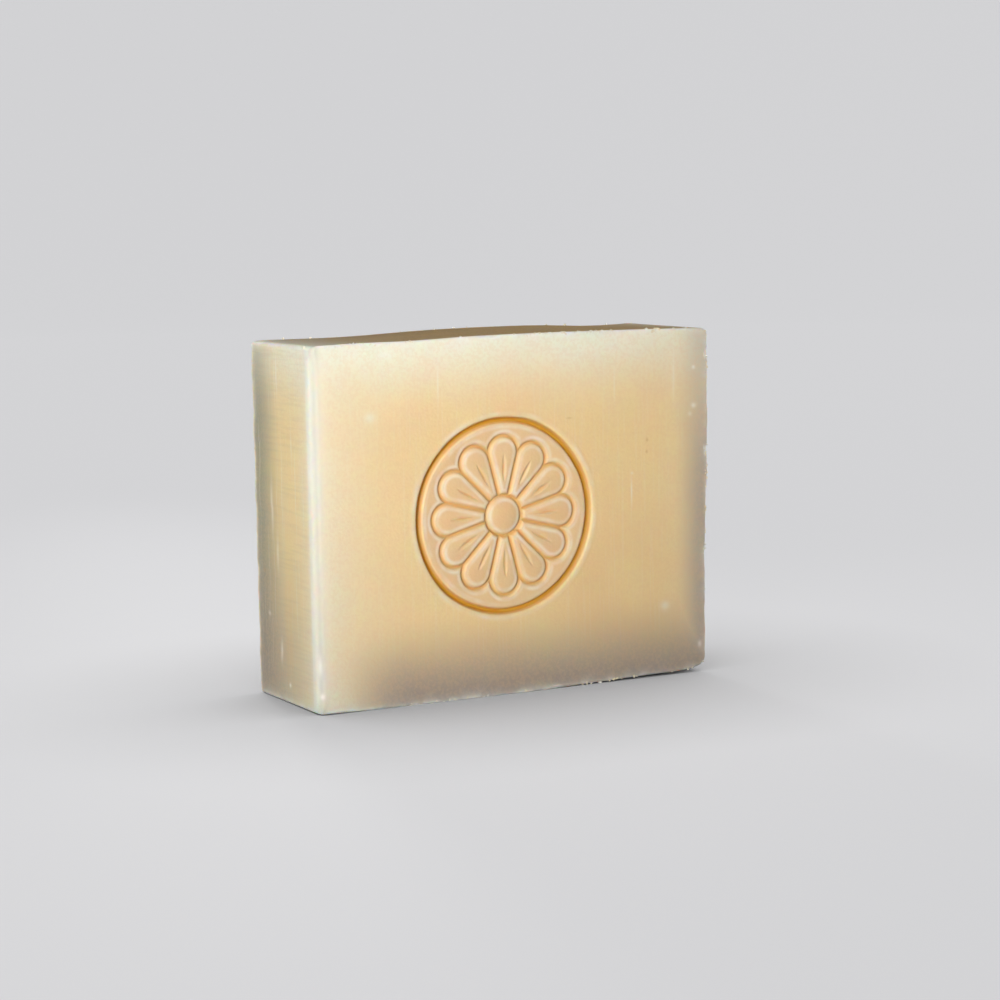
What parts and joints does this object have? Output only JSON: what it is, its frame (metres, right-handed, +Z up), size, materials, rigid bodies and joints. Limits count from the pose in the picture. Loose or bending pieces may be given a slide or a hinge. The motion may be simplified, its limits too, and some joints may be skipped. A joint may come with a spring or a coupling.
{
  "type": "bar of soap",
  "caption": "Hand-cut rectangular bar of soap with a round flower stamp pressed into its face, standing on its long narrow side.",
  "frame": {"origin": "middle of the foot, the long narrow side that the bar stands on", "axes": "+X across the cut face, towards the side with the soft lower corner; the stamped face looks along -Y; +Z up"},
  "size_m": [0.0786, 0.0254, 0.0633],
  "materials": {
    "soap": "dry, slightly waxy soap"
  },
  "bodies": {
    "root": {"soap_bar": "soap"}
  },
  "joints": []
}
